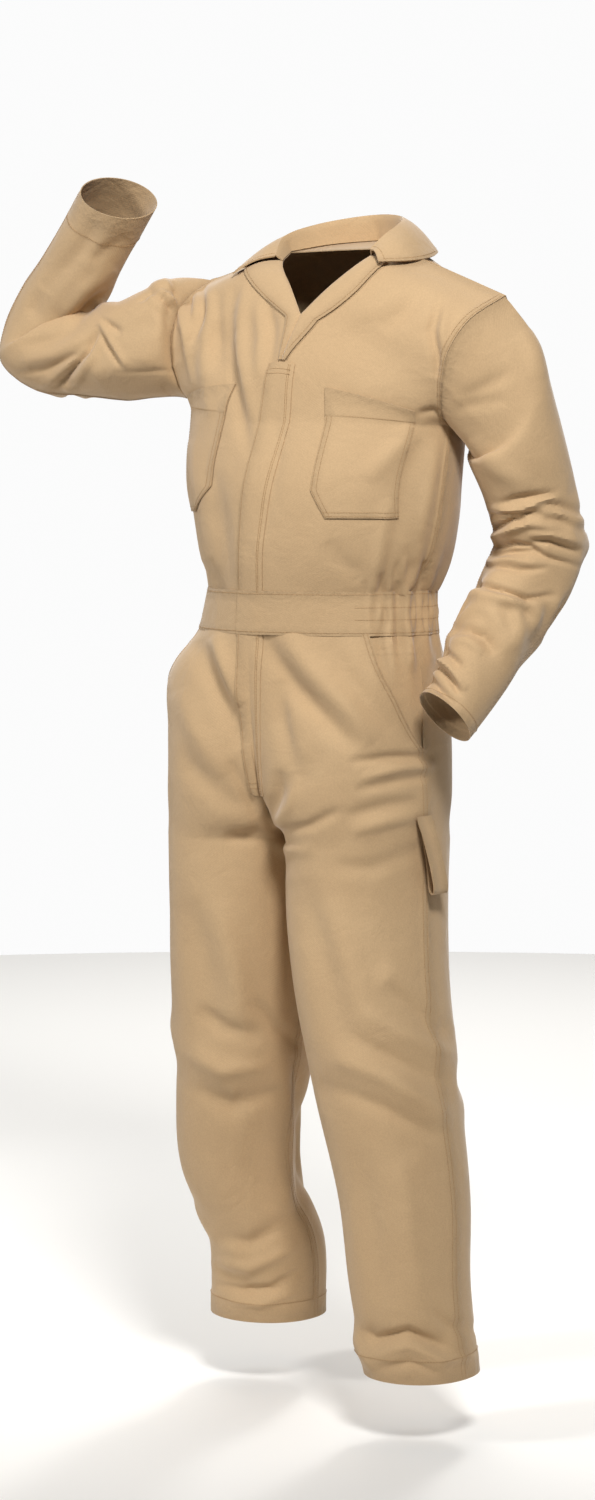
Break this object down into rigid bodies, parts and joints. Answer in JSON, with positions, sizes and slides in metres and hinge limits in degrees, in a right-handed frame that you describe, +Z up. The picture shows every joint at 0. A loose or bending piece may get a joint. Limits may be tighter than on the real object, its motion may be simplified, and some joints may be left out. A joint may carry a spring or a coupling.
{
  "type": "boiler suit",
  "caption": "Worn khaki twill boiler suit with open shirt collar, covered front, chest patch pockets, slant hip pockets, elastic waist and strap loop.",
  "frame": {"origin": "base of the neck, level with the shoulder seams' inner ends, where the wearer's shoulders hold the suit up", "axes": "+Z up, front towards -Y, the wearer's left towards +X"},
  "size_m": [0.8418, 0.2977, 1.5191],
  "materials": {
    "twill": "matt cotton twill"
  },
  "bodies": {
    "root": {"front_left": "twill", "front_right": "twill", "back": "twill", "waistband": "twill", "trouser_front_left": "twill", "trouser_front_right": "twill", "trouser_back_left": "twill", "trouser_back_right": "twill", "sleeve_left": "twill", "sleeve_right": "twill", "collar": "twill", "lapel_left": "twill", "lapel_right": "twill", "placket": "twill", "fly": "twill", "pocket_chest_left": "twill", "pocket_chest_right": "twill", "pocket_facing_left": "twill", "pocket_facing_right": "twill", "hammer_loop": "twill"}
  },
  "joints": []
}
